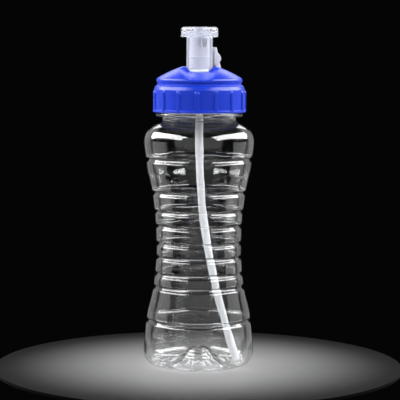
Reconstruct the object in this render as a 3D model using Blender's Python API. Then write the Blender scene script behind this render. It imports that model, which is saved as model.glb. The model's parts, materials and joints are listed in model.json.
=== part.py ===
"""Sports squeeze bottle with a screw cap, a push-pull spout, a vent lever and a bent straw.

Sizes are in millimetres and degrees, +Z is up, and the front is -Y. The origin is the centre of the
flat ring that the bottle stands on.
"""

import math

import bmesh
import bpy
from mathutils import Matrix, Vector

MM = 0.001
FULL = math.tau
GAP = 0.3

# Bottle body
WALL = 0.9
BODY_STEPS = 28
WIDEST = 37.75
CORNER_HEIGHT = 10.4
CORNER_START = 26.0
CORNER_ROUNDNESS = 2.25
STAND_INNER = 23.0
PUSH_UP = [(5.2, 12.2), (7.2, 10.6), (10.2, 7.5), (11.6, 5.0), (12.6, 4.4), (19.5, 1.9)]
HOURGLASS = [
    (10.4, 37.75), (20.0, 37.2), (30.0, 36.25), (38.0, 35.0), (49.0, 32.4), (55.0, 31.2),
    (64.0, 30.1), (75.6, 29.3), (85.0, 29.1), (97.0, 29.5), (107.0, 30.45), (119.6, 32.1),
    (128.0, 33.7), (136.0, 35.5), (142.4, 36.2), (148.0, 37.1), (155.0, 37.85),
]
GROOVES = [32.1, 55.2, 64.2, 75.6, 85.1, 96.9, 106.9, 119.6, 142.4]
GROOVE_DEPTH = 1.75
GROOVE_HALF = 1.95
SHOULDER = [(158.3, 37.2), (160.8, 36.1), (162.9, 34.4), (164.9, 31.9), (166.4, 29.5), (167.8, 26.4)]
NECK_OUTER = 25.2
BEAD_OUTER, BEAD_BOTTOM, BEAD_TOP = 30.0, 171.6, 173.8
FINISH_OUTER, FINISH_INNER, RIM_TOP = 28.2, 26.3, 189.8

# Thread between the neck and the cap: single start, right-handed
PITCH = 4.0
THREAD_TURNS = 1.35
THREAD_STEPS = 32
NECK_THREAD = (27.6, 29.4, 179.0)
CAP_THREAD = (30.35, 28.75, 177.0)
THREAD_ROOT_HALF, THREAD_CREST_HALF = 1.1, 0.5

# Screw cap
CAP_STEPS = 32
CAP_BOTTOM, CAP_BORE, SKIRT_OUTER, HEM_OUTER = 174.6, 29.85, 31.05, 31.65
BAND_OUTER, LIP_OUTER = 28.7, 29.25
DOME_RADIUS = 86.0
DOME_LOW, DOME_HIGH = (28.85, 197.4), (12.0, 205.3)
SHELL = 1.8
LEDGE_INNER, LEDGE_Z = 24.2, 191.9
RIBS, RIB_TURN, RIB_WIDTH, RIB_OUTER = 15, -2.9, 2.9, 31.85
RIB_ROOT, RIB_BOTTOM, RIB_TOP = 30.5, 175.8, 189.0
WELL_RADIUS, WELL_FLOOR, FLOOR_THICK = 11.0, 200.5, 1.5
SLEEVE_OUTER, SLEEVE_BOTTOM = 12.2, 193.0
SCOOP_NEAR, SCOOP_FAR = (-9.0, 9.2, 201.9), (-28.6, 6.0, 197.5)
SCOOP_WALL, SCOOP_SIDE_SLOPE, SCOOP_CLEAR = 1.6, 1.15, 214.0

# Spout post and the nozzle that slides on it
ROUND_STEPS = 24
POST_OUTER, POST_BORE, POST_TOP = 7.0, 5.8, 226.1
PLUG_RADIUS, PLUG_TOP = 4.2, 230.6
STOP_BEAD = (7.45, 211.2)
FLANGE_OUTER, FLANGE_BOTTOM, FLANGE_TOP = 10.5, 195.6, 197.2
SOCKET_OUTER, SOCKET_BORE, SOCKET_BOTTOM = 5.2, 4.0, 188.5
WINDOWS, WINDOW_TURN, WINDOW_WIDTH = 3, 17.0, 6.6
WINDOW_BOTTOM, WINDOW_TOP = 218.2, 224.3
NOZZLE_OUTER, NOZZLE_BORE, NOZZLE_BOTTOM = 8.95, 7.85, 200.9
FOOT_OUTER, FOOT_TOP = 9.85, 203.0
MOUTH_OUTER, MOUTH_BOTTOM, MOUTH_TOP = 12.7, 225.3, 232.1
DRINK_HOLE, CEILING = 4.6, 227.0

# Vent lever, in a slot of the crown; u runs outwards from the cap's axis
LEVER_TURN = 35.0
LEVER_HALF = 3.5
PIN_U, PIN_Z, PIN_RADIUS, PIN_HALF = 15.3, 202.2, 0.9, 5.3
EYE_RADIUS = 1.65
SLOT_IN, SLOT_OUT, SLOT_FLOOR = 10.4, 17.8, 200.0
VENT_U, VENT_RADIUS = 14.0, 0.95

# Straw
STRAW_OUTER, STRAW_WALL = 2.65, 0.55
STRAW_ROUTE = [
    (0.0, 0.0, 194.6), (0.0, 0.0, 174.0), (0.0, 0.0, 159.0), (0.3, -0.1, 145.0), (0.8, -0.3, 129.6),
    (1.6, -0.6, 117.5), (2.7, -1.0, 105.1), (4.7, -1.6, 90.3), (6.9, -2.2, 78.2), (9.2, -2.8, 66.5),
    (11.8, -3.4, 54.7), (14.7, -4.1, 43.0), (17.7, -4.7, 32.4), (21.0, -5.3, 20.6), (26.6, -6.0, 3.6),
]
STRAW_POINTS = 42


def clear_scene():
    for obj in list(bpy.data.objects):
        bpy.data.objects.remove(obj)


def plastic(name, colour, roughness, transmission=0.0):
    material = bpy.data.materials.new(name)
    material.use_nodes = True
    shader = material.node_tree.nodes["Principled BSDF"]
    shader.inputs["Base Color"].default_value = (*colour, 1.0)
    shader.inputs["Roughness"].default_value = roughness
    shader.inputs["Metallic"].default_value = 0.0
    shader.inputs["Transmission Weight"].default_value = transmission
    material.diffuse_color = (*colour, 1.0)
    return material


def finished(name, bm, material, origin=(0.0, 0.0, 0.0)):
    """Turns a bmesh in millimetres into an object in metres whose origin is at the given point."""
    bmesh.ops.translate(bm, verts=bm.verts, vec=-Vector(origin))
    bmesh.ops.scale(bm, verts=bm.verts, vec=(MM, MM, MM))
    bmesh.ops.recalc_face_normals(bm, faces=bm.faces)
    mesh = bpy.data.meshes.new(name)
    bm.to_mesh(mesh)
    bm.free()
    mesh.shade_smooth()
    mesh.set_sharp_from_angle(angle=math.radians(35.0))
    if material:
        mesh.materials.append(material)
    obj = bpy.data.objects.new(name, mesh)
    obj.location = Vector(origin) * MM
    bpy.context.collection.objects.link(obj)
    return obj


def turned(name, outline, material, steps, origin=(0.0, 0.0, 0.0), centre=(0.0, 0.0)):
    """Spins an outline of (radius, height) points; one that starts and ends on the axis stays open."""
    bm = bmesh.new()
    ring = [bm.verts.new((r, 0.0, z)) for r, z in outline]
    pairs = list(zip(ring, ring[1:]))
    if outline[0][0] > 0.0:
        pairs.append((ring[-1], ring[0]))
    edges = [bm.edges.new(pair) for pair in pairs]
    bmesh.ops.spin(bm, geom=ring + edges, cent=(0, 0, 0), axis=(0, 0, 1), angle=FULL, steps=steps,
                   use_merge=True)
    bmesh.ops.remove_doubles(bm, verts=bm.verts, dist=0.001)
    bmesh.ops.translate(bm, verts=bm.verts, vec=(*centre, 0.0))
    return finished(name, bm, material, origin)


def prism(name, outline, place, depth, material, origin=(0.0, 0.0, 0.0), rounding=0.0):
    """Extrudes a flat outline in its own XY plane by depth, then moves it by the matrix place."""
    bm = bmesh.new()
    face = bm.faces.new([bm.verts.new((x, y, 0.0)) for x, y in outline])
    moved = bmesh.ops.extrude_face_region(bm, geom=[face])["geom"]
    corners = [item for item in moved if isinstance(item, bmesh.types.BMVert)]
    bmesh.ops.translate(bm, verts=corners, vec=(0.0, 0.0, depth))
    bmesh.ops.recalc_face_normals(bm, faces=bm.faces)
    if rounding:
        bmesh.ops.bevel(bm, geom=list(bm.edges), offset=rounding, segments=2, profile=0.5,
                        affect="EDGES", clamp_overlap=True, material=-1)
    bmesh.ops.transform(bm, matrix=place, verts=bm.verts)
    return finished(name, bm, material, origin)


def box(name, low, high, place=None, rounding=0.0):
    """A cutter or helper block between two corners, in the frame of the matrix place."""
    outline = [(low[0], low[1]), (high[0], low[1]), (high[0], high[1]), (low[0], high[1])]
    lift = Matrix.Translation((0.0, 0.0, low[2]))
    where = (place @ lift) if place else lift
    return prism(name, outline, where, high[2] - low[2], None, rounding=rounding)


def boolean(target, other, operation):
    modifier = target.modifiers.new(f"{operation.lower()}_{other.name}", "BOOLEAN")
    modifier.operation = operation
    modifier.solver = "EXACT"
    modifier.object = other
    other.hide_render = True
    other.display_type = "WIRE"


def cut(target, *cutters):
    for cutter in cutters:
        boolean(target, cutter, "DIFFERENCE")


def join(target, *others):
    for other in others:
        boolean(target, other, "UNION")


def smooth_curve(points, at):
    """Value at `at` of the monotone cubic curve through (x, y) points."""
    steps = [b[0] - a[0] for a, b in zip(points, points[1:])]
    rises = [(b[1] - a[1]) / h for a, b, h in zip(points, points[1:], steps)]
    slopes = [rises[0]]
    for left, right, before, after in zip(rises, rises[1:], steps, steps[1:]):
        weight = 3.0 * (before + after)
        if left * right > 0:
            slopes.append(weight / ((2 * after + before) / left + (after + 2 * before) / right))
        else:
            slopes.append(0.0)
    slopes.append(rises[-1])
    index = max(i for i in range(len(steps)) if at >= points[i][0] or i == 0)
    width, t = steps[index], (at - points[index][0]) / steps[index]
    return (
        (2 * t**3 - 3 * t**2 + 1) * points[index][1]
        + (t**3 - 2 * t**2 + t) * width * slopes[index]
        + (3 * t**2 - 2 * t**3) * points[index + 1][1]
        + (t**3 - t**2) * width * slopes[index + 1]
    )


def arc_between(start, end, radius, steps):
    """Points on the arc of the given radius that bulges outwards and upwards from start to end."""
    start, end = Vector(start), Vector(end)
    chord = end - start
    reach = math.sqrt(radius**2 - (chord.length / 2) ** 2)
    inward = Vector((-chord.y, chord.x)).normalized()
    if inward.y > 0:
        inward = -inward
    centre = (start + end) / 2 + inward * reach
    first, last = (math.atan2(p.y - centre.y, p.x - centre.x) for p in (start, end))
    angles = [first + (last - first) * i / steps for i in range(steps + 1)]
    return [(centre.x + radius * math.cos(a), centre.y + radius * math.sin(a)) for a in angles]


def corner_curve(start, widest, bottom, steps):
    """The rounded heel between the standing ring and the wall, as part of a superellipse."""
    power = 2.0 / CORNER_ROUNDNESS
    points = []
    for i in range(1, steps + 1):
        angle = math.pi / 2 * i / steps
        across = (widest - start) * math.sin(angle) ** power
        up = (CORNER_HEIGHT - bottom) * (1.0 - math.cos(angle) ** power)
        points.append((start + across, bottom + up))
    return points


def wall_outline(outside):
    """The waisted wall between the heel and the shoulder, with its nine grooves."""
    points = []
    for low, high in zip([CORNER_HEIGHT] + GROOVES, GROOVES + [HOURGLASS[-1][0]]):
        if low in GROOVES:
            points.append((smooth_curve(HOURGLASS, low) - GROOVE_DEPTH, low))
            if outside:
                edge = low + GROOVE_HALF
                points.append((smooth_curve(HOURGLASS, edge), edge))
        middle = (low + high) / 2
        points.append((smooth_curve(HOURGLASS, middle), middle))
        if high in GROOVES and outside:
            edge = high - GROOVE_HALF
            points.append((smooth_curve(HOURGLASS, edge), edge))
    points.append((HOURGLASS[-1][1], HOURGLASS[-1][0]))
    return points if outside else [(r - WALL, z) for r, z in points]


def thread(name, root, crest, start, material=None):
    bm = bmesh.new()
    profile = [(root, -THREAD_ROOT_HALF), (crest, -THREAD_CREST_HALF),
               (crest, THREAD_CREST_HALF), (root, THREAD_ROOT_HALF)]
    face = bm.faces.new([bm.verts.new((r, 0.0, start + z)) for r, z in profile])
    steps = round(THREAD_STEPS * THREAD_TURNS)
    bmesh.ops.spin(bm, geom=[face] + list(face.edges) + list(face.verts), cent=(0, 0, 0), axis=(0, 0, 1),
                   dvec=(0, 0, PITCH * THREAD_TURNS / steps), angle=FULL * THREAD_TURNS, steps=steps)
    return finished(name, bm, material)


def bottle_body():
    clear_pet = plastic("clear_pet", (0.93, 0.95, 0.96), 0.05, 0.9)
    outer = [(0.0, PUSH_UP[0][1])] + PUSH_UP + [(STAND_INNER, 0.0), (CORNER_START, 0.0)]
    outer += corner_curve(CORNER_START, WIDEST, 0.0, 6)
    outer += wall_outline(outside=True)
    outer += [(r, z) for z, r in SHOULDER]
    outer += [(NECK_OUTER, 168.7), (NECK_OUTER, BEAD_BOTTOM - 0.5), (BEAD_OUTER - 0.6, BEAD_BOTTOM),
              (BEAD_OUTER, BEAD_BOTTOM + 0.6), (BEAD_OUTER, BEAD_TOP - 0.5),
              (BEAD_OUTER - 0.5, BEAD_TOP), (FINISH_OUTER, BEAD_TOP), (FINISH_OUTER, RIM_TOP)]
    inner = [(FINISH_INNER, RIM_TOP), (FINISH_INNER, 175.0), (NECK_OUTER - 1.1, 172.6),
             (NECK_OUTER - 1.1, 168.4)]
    inner += [(r - WALL, z - 0.6) for z, r in reversed(SHOULDER)]
    inner += list(reversed(wall_outline(outside=False)))
    inner += list(reversed(corner_curve(CORNER_START, WIDEST - WALL, WALL, 4)))
    inner += [(CORNER_START, WALL), (STAND_INNER, WALL)]
    inner += [(r + 0.4, z + WALL) for r, z in reversed(PUSH_UP)] + [(0.0, PUSH_UP[0][1] + WALL)]
    body = turned("bottle_body", outer + inner, clear_pet, BODY_STEPS)
    join(body, thread("neck_thread_helper", *NECK_THREAD))


def cap_shell(blue):
    dome = arc_between(DOME_LOW, DOME_HIGH, DOME_RADIUS, 6)
    outer = [(0.0, CAP_BOTTOM), (HEM_OUTER, CAP_BOTTOM), (HEM_OUTER, 175.8), (SKIRT_OUTER, 176.3),
             (SKIRT_OUTER, 189.6), (30.75, 190.9), (30.0, 192.1), (BAND_OUTER, 192.9),
             (BAND_OUTER, 194.6), (LIP_OUTER, 195.0), (LIP_OUTER, 196.4)]
    outer += dome + [(WELL_RADIUS + 0.3, DOME_HIGH[1]), (WELL_RADIUS, DOME_HIGH[1] - 0.4),
                     (WELL_RADIUS, WELL_FLOOR), (0.0, WELL_FLOOR)]
    return turned("screw_cap", outer, blue, CAP_STEPS, origin=(0.0, 0.0, CAP_BOTTOM))


def cap_cavity(lever_frame):
    """The hollow of the cap, less the blocks that carry the scoop and the vent lever."""
    under = arc_between((DOME_LOW[0] - 2.1, DOME_LOW[1] - 1.2), (DOME_HIGH[0] + 0.2, DOME_HIGH[1] - SHELL),
                        DOME_RADIUS, 5)
    outline = [(0.0, CAP_BOTTOM - 1.0), (CAP_BORE, CAP_BOTTOM - 1.0), (CAP_BORE, 189.6),
               (28.4, LEDGE_Z), (LEDGE_INNER, LEDGE_Z), (LEDGE_INNER, LEDGE_Z + 1.5),
               (26.8, LEDGE_Z + 1.5)]
    outline += under + [(SLEEVE_OUTER, SLEEVE_BOTTOM), (WELL_RADIUS, SLEEVE_BOTTOM),
                        (WELL_RADIUS, WELL_FLOOR - FLOOR_THICK), (0.0, WELL_FLOOR - FLOOR_THICK)]
    cavity = turned("cap_cavity_cutter", outline, None, CAP_STEPS)
    pan = scoop_block("scoop_pan_helper", SCOOP_WALL, -SCOOP_WALL)
    housing = box("lever_housing_helper", (11.6, -6.9, 198.2), (19.6, 6.9, 215.0), lever_frame)
    cut(cavity, pan, housing)
    return cavity


def scoop_block(name, widen, drop):
    """A wedge above the sloping floor of the lip scoop, narrowing towards the rim, with leaning sides."""
    (near_y, near_half, near_z), (far_y, far_half, far_z) = SCOOP_NEAR, SCOOP_FAR
    sides = [(near_y, near_z + drop), (near_y, SCOOP_CLEAR), (far_y, SCOOP_CLEAR), (far_y, far_z + drop)]
    bm = bmesh.new()
    rows = []
    for sign in (-1.0, 1.0):
        near_top = near_half + (SCOOP_CLEAR - near_z - drop) / SCOOP_SIDE_SLOPE
        far_top = far_half + (SCOOP_CLEAR - far_z - drop) / SCOOP_SIDE_SLOPE
        halves = [near_half, near_top, far_top, far_half]
        rows.append([bm.verts.new((sign * (half + widen), y, z)) for half, (y, z) in zip(halves, sides)])
    bm.faces.new(rows[0])
    bm.faces.new(rows[1])
    for i in range(4):
        bm.faces.new((rows[0][i], rows[0][(i + 1) % 4], rows[1][(i + 1) % 4], rows[1][i]))
    return finished(name, bm, None)


def rib(name, angle):
    """One upright grip bar on the skirt, with a round top end."""
    half = RIB_WIDTH / 2
    centre = RIB_TOP - half
    outline = [(-half, RIB_BOTTOM), (half, RIB_BOTTOM), (half, centre)]
    outline += [(half * math.cos(a), centre + half * math.sin(a)) for a in (math.pi / 4, math.pi / 2)]
    outline += [(-half * math.cos(math.pi / 4), centre + half * math.sin(math.pi / 4)), (-half, centre)]
    upright = Matrix.Rotation(math.radians(90.0), 4, "Z") @ Matrix.Rotation(math.radians(90.0), 4, "X")
    place = Matrix.Rotation(angle, 4, "Z") @ Matrix.Translation((RIB_ROOT, 0.0, 0.0)) @ upright
    return prism(name, outline, place, RIB_OUTER - RIB_ROOT, None)


def screw_cap(lever_frame):
    blue = plastic("blue_polypropylene", (0.02, 0.06, 0.75), 0.25)
    cap = cap_shell(blue)
    cut(cap, cap_cavity(lever_frame))
    cut(cap, scoop_block("scoop_cutter", 0.0, 0.0))
    cut(cap, box("lever_slot_cutter", (SLOT_IN, -LEVER_HALF - GAP, SLOT_FLOOR),
                 (SLOT_OUT, LEVER_HALF + GAP, 220.0), lever_frame))
    across = lever_frame @ Matrix.Translation((PIN_U, 0.0, PIN_Z)) @ Matrix.Rotation(math.pi / 2, 4, "X")
    cut(cap, rod("pin_bore_cutter", PIN_RADIUS + 0.25, -9.0, PIN_HALF + GAP, across, 12, None))
    down = lever_frame @ Matrix.Translation((VENT_U, 0.0, 0.0))
    cut(cap, rod("vent_bore_cutter", VENT_RADIUS, 196.0, 201.0, down, 12, None))
    upright = Matrix.Identity(4)
    cut(cap, rod("post_bore_cutter", POST_OUTER + 0.35, 198.0, 202.0, upright, ROUND_STEPS, None))
    join(cap, thread("cap_thread_helper", *CAP_THREAD))
    for k in range(RIBS):
        angle = math.radians(-90.0 + RIB_TURN + k * 360.0 / RIBS)
        join(cap, rib(f"rib_helper_{k + 1}", angle))


def rod(name, radius, low, high, place, steps, material, origin=(0.0, 0.0, 0.0)):
    bm = bmesh.new()
    bmesh.ops.create_cone(bm, cap_ends=True, segments=steps, radius1=radius, radius2=radius,
                          depth=high - low, matrix=Matrix.Translation((0, 0, (low + high) / 2)))
    bmesh.ops.transform(bm, matrix=place, verts=bm.verts)
    return finished(name, bm, material, origin)


def washer(name, inner, outer, low, high, material, origin):
    turned(name, [(inner, low), (outer, low), (outer, high), (inner, high)], material, ROUND_STEPS, origin)


def spout_post():
    milky = plastic("milky_polyethylene", (0.85, 0.86, 0.9), 0.35)
    bead, bead_z = STOP_BEAD
    outline = [(0.0, POST_TOP - 1.4), (POST_BORE, POST_TOP - 1.4), (POST_BORE, 198.4), (SOCKET_BORE, 196.6),
               (SOCKET_BORE, SOCKET_BOTTOM), (SOCKET_OUTER, SOCKET_BOTTOM), (SOCKET_OUTER, FLANGE_BOTTOM),
               (FLANGE_OUTER, FLANGE_BOTTOM), (FLANGE_OUTER, FLANGE_TOP), (POST_OUTER, FLANGE_TOP),
               (POST_OUTER, bead_z), (bead, bead_z + 0.3), (bead, bead_z + 0.8), (POST_OUTER, bead_z + 1.3),
               (POST_OUTER, POST_TOP - 0.6), (POST_OUTER - 0.6, POST_TOP), (PLUG_RADIUS, POST_TOP),
               (PLUG_RADIUS, PLUG_TOP - 0.5), (PLUG_RADIUS - 0.5, PLUG_TOP), (0.0, PLUG_TOP)]
    post = turned("spout_post", outline, milky, ROUND_STEPS)
    for k in range(WINDOWS):
        turn = Matrix.Rotation(math.radians(-90.0 + WINDOW_TURN + k * 360.0 / WINDOWS), 4, "Z")
        half = WINDOW_WIDTH / 2
        low, high = (4.0, -half, WINDOW_BOTTOM), (9.5, half, WINDOW_TOP)
        cut(post, box(f"window_cutter_{k + 1}", low, high, turn, rounding=1.2))


def pull_nozzle():
    clear = plastic("clear_polypropylene", (0.92, 0.93, 0.95), 0.1, 0.8)
    outline = [(7.35, NOZZLE_BOTTOM), (FOOT_OUTER, NOZZLE_BOTTOM), (FOOT_OUTER, FOOT_TOP - 0.4),
               (FOOT_OUTER - 0.4, FOOT_TOP), (NOZZLE_OUTER, FOOT_TOP + 0.2), (NOZZLE_OUTER, 229.0),
               (11.5, 229.0), (11.5, MOUTH_BOTTOM), (MOUTH_OUTER, MOUTH_BOTTOM), (MOUTH_OUTER, 230.4),
               (12.0, 231.6), (10.5, MOUTH_TOP), (5.6, MOUTH_TOP), (DRINK_HOLE, 231.3),
               (DRINK_HOLE, CEILING), (NOZZLE_BORE, CEILING), (NOZZLE_BORE, 204.3), (7.35, 204.3),
               (7.35, 202.9), (8.75, 202.9), (8.75, 201.4), (7.35, 201.4)]
    turned("pull_nozzle", outline, clear, ROUND_STEPS, origin=(0.0, 0.0, NOZZLE_BOTTOM))


def vent_lever(lever_frame, pin_point):
    milky = plastic("milky_lever_plastic", (0.83, 0.84, 0.88), 0.35)
    outline = [(10.2, 218.0), (10.2, 206.6), (12.0, 205.2), (12.0, 201.0), (PIN_U - 0.4, 200.75)]
    outline += [(PIN_U + EYE_RADIUS * math.cos(a), PIN_Z + EYE_RADIUS * math.sin(a))
                for a in (math.radians(d) for d in (-70, -45, -20, 5, 30))]
    outline += [(15.5, 204.6), (14.1, 208.2), (14.95, 209.0), (15.4, 210.2), (15.35, 211.4),
                (14.65, 213.0), (12.55, 214.6), (11.85, 217.2), (11.35, 218.2), (10.9, 218.4), (10.5, 218.4)]
    on_edge = lever_frame @ Matrix.Translation((0.0, LEVER_HALF, 0.0)) @ Matrix.Rotation(math.pi / 2, 4, "X")
    lever = prism("vent_lever", outline, on_edge, 2 * LEVER_HALF, milky, origin=pin_point)
    across = lever_frame @ Matrix.Translation((PIN_U, 0.0, PIN_Z)) @ Matrix.Rotation(math.pi / 2, 4, "X")
    cut(lever, rod("lever_bore_cutter", PIN_RADIUS + 0.25, -6.0, 6.0, across, 12, None))
    nylon = plastic("pin_nylon", (0.8, 0.8, 0.82), 0.4)
    rod("lever_pin", PIN_RADIUS, -PIN_HALF, PIN_HALF, across, 12, nylon, origin=pin_point)


def vent_valve(silicone, lever_frame):
    centre = lever_frame @ Vector((VENT_U, 0.0, 0.0))
    outline = [(0.0, 196.4), (0.7, 196.4), (1.6, 197.1), (1.6, 197.8), (0.62, 197.8), (0.62, 200.15),
               (1.5, 200.15), (1.4, 200.42), (0.0, 200.45)]
    turned("vent_valve", outline, silicone, 12, centre=(centre.x, centre.y))


def straw():
    polyethylene = plastic("straw_polyethylene", (0.86, 0.88, 0.9), 0.3)
    curve = bpy.data.curves.new("straw", "CURVE")
    curve.dimensions = "3D"
    curve.bevel_depth = STRAW_OUTER * MM
    curve.bevel_resolution = 2
    spline = curve.splines.new("POLY")
    spline.points.add(STRAW_POINTS - 1)
    across = sorted((z, x) for x, _, z in STRAW_ROUTE)
    forward = sorted((z, y) for _, y, z in STRAW_ROUTE)
    low, high = across[0][0], across[-1][0]
    for i, point in enumerate(spline.points):
        z = high + (low - high) * i / (STRAW_POINTS - 1)
        point.co = (smooth_curve(across, z) * MM, smooth_curve(forward, z) * MM, z * MM, 1.0)
    curve.materials.append(polyethylene)
    obj = bpy.data.objects.new("straw", curve)
    bpy.context.collection.objects.link(obj)
    wall = obj.modifiers.new("wall", "SOLIDIFY")
    wall.thickness = STRAW_WALL * MM
    wall.offset = -1.0


def main():
    clear_scene()
    lever_frame = Matrix.Rotation(math.radians(LEVER_TURN), 4, "Z")
    pin_point = lever_frame @ Vector((PIN_U, 0.0, PIN_Z))
    silicone = plastic("soft_silicone", (0.8, 0.82, 0.85), 0.5)
    bottle_body()
    screw_cap(lever_frame)
    washer("cap_seal", 24.7, 27.9, RIM_TOP + GAP, LEDGE_Z - GAP, silicone, (0.0, 0.0, RIM_TOP))
    spout_post()
    washer("post_gasket", 7.4, 10.4, FLANGE_TOP + GAP, 198.7, silicone, (0.0, 0.0, FLANGE_TOP))
    retainer_plastic = plastic("retainer_plastic", (0.9, 0.9, 0.9), 0.4)
    washer("post_retainer", 5.6, 10.7, 193.6, FLANGE_BOTTOM - GAP, retainer_plastic,
           (0.0, 0.0, FLANGE_BOTTOM))
    pull_nozzle()
    washer("nozzle_ring", 7.25, 8.45, 201.7, 202.6, silicone, (0.0, 0.0, NOZZLE_BOTTOM))
    vent_lever(lever_frame, pin_point)
    vent_valve(silicone, lever_frame)
    straw()
    washer("straw_sleeve", 2.95, 3.7, 187.5, 194.8, silicone, (0.0, 0.0, 194.8))


main()
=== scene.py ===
"""Sports squeeze bottle: the fine surfaces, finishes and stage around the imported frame.

The shape functions work in millimetres, and `finished` turns them into metres. +Z is up, the front is
-Y, and the origin is the centre of the ring that the bottle stands on. Sizes and colours that a user
may change are properties, shown in the Squeeze Bottle tab of the 3D view's sidebar.
"""

import functools
import json
import math

import bmesh
import bpy
from bpy.props import FloatProperty, FloatVectorProperty, IntProperty, PointerProperty
from bpy.types import Operator, Panel, PropertyGroup
from mathutils import Matrix, Vector, noise


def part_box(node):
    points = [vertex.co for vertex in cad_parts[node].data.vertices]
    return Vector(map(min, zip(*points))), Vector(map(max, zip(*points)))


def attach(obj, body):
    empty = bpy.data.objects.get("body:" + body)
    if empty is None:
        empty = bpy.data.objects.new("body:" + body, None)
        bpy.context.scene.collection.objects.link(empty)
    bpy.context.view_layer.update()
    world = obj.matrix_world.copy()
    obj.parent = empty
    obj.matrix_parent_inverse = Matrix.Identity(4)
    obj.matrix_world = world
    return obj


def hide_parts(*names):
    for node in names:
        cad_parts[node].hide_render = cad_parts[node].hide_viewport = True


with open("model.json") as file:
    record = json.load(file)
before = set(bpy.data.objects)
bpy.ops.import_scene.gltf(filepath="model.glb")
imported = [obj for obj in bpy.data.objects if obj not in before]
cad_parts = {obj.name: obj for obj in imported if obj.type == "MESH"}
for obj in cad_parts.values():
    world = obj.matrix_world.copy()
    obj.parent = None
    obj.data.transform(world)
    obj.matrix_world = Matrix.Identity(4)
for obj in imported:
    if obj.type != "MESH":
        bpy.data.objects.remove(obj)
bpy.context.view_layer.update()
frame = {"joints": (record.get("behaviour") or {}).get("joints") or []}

bl_info = {
    "name": "Squeeze Bottle",
    "version": (1, 0, 0),
    "blender": (4, 5, 0),
    "location": "3D View > Sidebar > Squeeze Bottle",
    "description": "Makes a waisted squeeze bottle with a ribbed cap, a pull nozzle, a lever and a straw",
    "category": "Add Mesh",
}

MM = 0.001

# Places that the frame settles: boxes in metres, the lever's pin in millimetres
BODY_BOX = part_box("bottle_body")
CAP_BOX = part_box("screw_cap")
NOZZLE_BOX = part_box("pull_nozzle")
POST_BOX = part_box("spout_post")
LEVER_TILT = next(joint for joint in frame["joints"] if joint["name"] == "lever_tilt")
PIN_POINT = Vector(LEVER_TILT["pos_m"]) / MM
LEVER_TURN = math.atan2(PIN_POINT.y, PIN_POINT.x)
LEVER_FRAME = Matrix.Rotation(LEVER_TURN, 4, "Z")
PIN_U = math.hypot(PIN_POINT.x, PIN_POINT.y)
PIN_Z = PIN_POINT.z
PIN_FRAME = LEVER_FRAME @ Matrix.Translation((PIN_U, 0.0, PIN_Z)) @ Matrix.Rotation(math.pi / 2, 4, "X")

# Bottle: (height, radius) points of the wall from heel to neck, and the heights of its nine grooves
CORNER_HEIGHT, CORNER_START, CORNER_ROUNDNESS = 10.4, 26.0, 2.25
STAND_INNER = 23.0
PROFILE = [
    (10.4, 37.75), (20.0, 37.2), (30.0, 36.25), (38.0, 35.0), (49.0, 32.4), (55.0, 31.2),
    (64.0, 30.1), (75.6, 29.3), (85.0, 29.1), (97.0, 29.5), (107.0, 30.45), (119.6, 32.1),
    (128.0, 33.7), (136.0, 35.5), (142.4, 36.2), (148.0, 37.1), (155.0, 37.75), (158.3, 37.2),
    (160.8, 36.1), (162.9, 34.4), (164.9, 31.9), (166.4, 29.5), (167.8, 26.6), (168.8, 25.2),
]
GROOVES = [32.1, 55.2, 64.2, 75.6, 85.1, 96.9, 106.9, 119.6, 142.4]
PROFILE_TOP = 168.8
NECK_OUTER, NECK_INNER = 25.2, 24.1
BEAD_OUTER, BEAD_BOTTOM, BEAD_TOP = 30.0, 171.6, 173.8
FINISH_OUTER, FINISH_INNER = 28.2, 26.3
# Underside of the base, from the gate mark at the centre out to the standing ring
BASE_STEPS = [
    (0.9, 13.0, 0.2), (1.2, 12.3, 0.2), (4.4, 12.2, 0.5), (5.4, 11.2, 0.5), (6.8, 10.9, 0.4),
    (7.7, 9.6, 0.5), (9.0, 9.0, 0.4), (9.9, 7.3, 0.5), (11.0, 6.7, 0.4), (11.9, 4.9, 0.6),
    (13.4, 4.3, 0.8), (19.5, 1.9, 1.0), (STAND_INNER, 0.0, 0.6), (CORNER_START, 0.0, 0.0),
]
WEB_IN, WEB_OUT = 11.5, 22.5

# Thread: single start, right-handed
PITCH, THREAD_TURNS = 4.0, 1.35
NECK_THREAD_START, NECK_THREAD_HEIGHT = 179.0, 1.2
CAP_THREAD_START, CAP_THREAD_HEIGHT = 177.0, -1.4
THREAD_ROOT_HALF, THREAD_CREST_HALF = 0.95, 0.5

# Cap
CAP_BORE, HEM_OUTER, SKIRT_OUTER = 29.85, 31.65, 30.95
BAND_OUTER, LIP_OUTER = 28.7, 29.25
DOME_RADIUS, DOME_LOW, DOME_HIGH = 86.0, (28.85, 197.4), (12.0, 205.3)
LEDGE_INNER, LEDGE_Z = 24.2, 191.9
WELL_RADIUS, WELL_FLOOR, FLOOR_THICK, WELL_HOLE = 11.0, 200.5, 1.5, 7.35
SLEEVE_OUTER, SLEEVE_BOTTOM = 12.2, 193.0
RIB_TURN, RIB_BOTTOM, RIB_TOP = -92.9, 175.6, 189.0
SCOOP_NEAR, SCOOP_FAR = (-9.0, 8.7, 201.9), (-28.6, 6.0, 197.5)
SCOOP_WALL, SCOOP_SIDE_SLOPE, SCOOP_SOFTNESS = 1.6, 0.8, 3.6
SLOT_IN, SLOT_OUT, SLOT_FLOOR, SLOT_HALF = 10.4, 17.8, 200.0, 3.8
SLOT_TOP, SLOT_ROUNDING = 220.0, 0.5
HOUSING_LOW, HOUSING_HIGH, HOUSING_FALL = (11.6, -6.9, 198.2), (19.4, 6.9, 204.6), 0.42
PIN_BORE, PIN_BORE_OUT, PIN_BORE_IN = 1.15, -9.0, 5.6
VENT_U, VENT_BORE, VENT_BOTTOM, VENT_TOP = 14.0, 0.95, 196.0, 201.0
COLUMNS_PER_RIB = 22

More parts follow.
